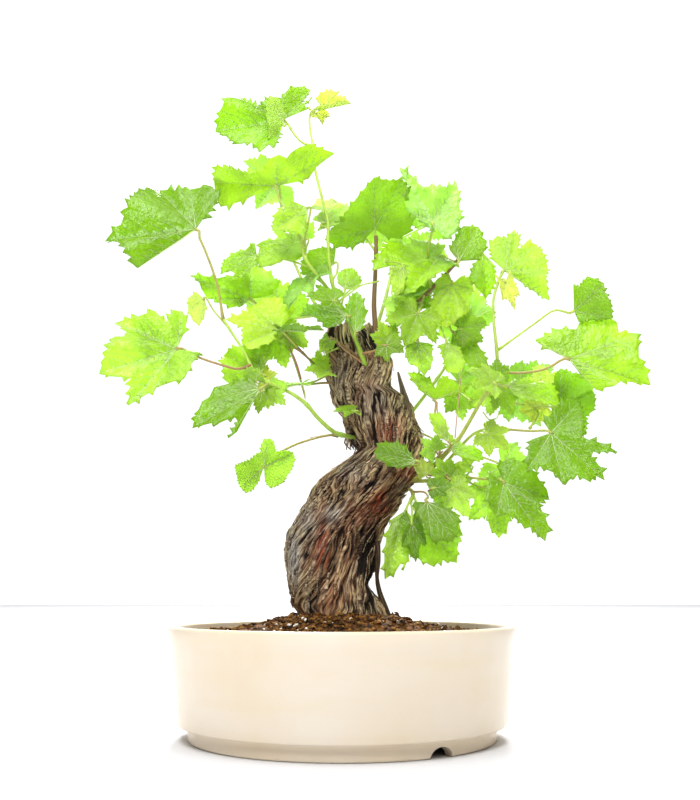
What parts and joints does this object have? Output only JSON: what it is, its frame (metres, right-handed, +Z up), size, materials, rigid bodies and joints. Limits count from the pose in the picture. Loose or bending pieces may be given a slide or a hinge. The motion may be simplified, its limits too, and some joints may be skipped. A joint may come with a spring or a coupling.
{
  "type": "potted grapevine bonsai",
  "caption": "Miniature grapevine: a thick twisted old vine trunk with young leafy shoots, planted in a low round glazed pot of soil.",
  "frame": {"origin": "middle of the bounding box, at the height of the foot ring's underside", "axes": "+Z up, -Y towards the viewer of the picture, +X to that viewer's right"},
  "size_m": [0.3662, 0.24, 0.4887],
  "materials": {
    "glaze": "gloss",
    "screen": "matte",
    "soil": "matte",
    "bark": "matte",
    "leaf": "satin",
    "young_leaf": "satin"
  },
  "bodies": {
    "root": {"pot": "glaze", "drain_screen_left": "screen", "drain_screen_right": "screen", "soil": "soil", "trunk": "bark", "shoot_leader": "leaf", "cane_upright": "leaf", "shoot_right": "leaf", "shoot_low": "young_leaf", "leaf_trunk_face": "leaf", "leaf_trunk_left": "leaf", "shoot_bud_left": "leaf", "shoot_left": "leaf", "shoot_back_left": "leaf", "shoot_back_right": "leaf", "shoot_back_up": "leaf"}
  },
  "joints": []
}
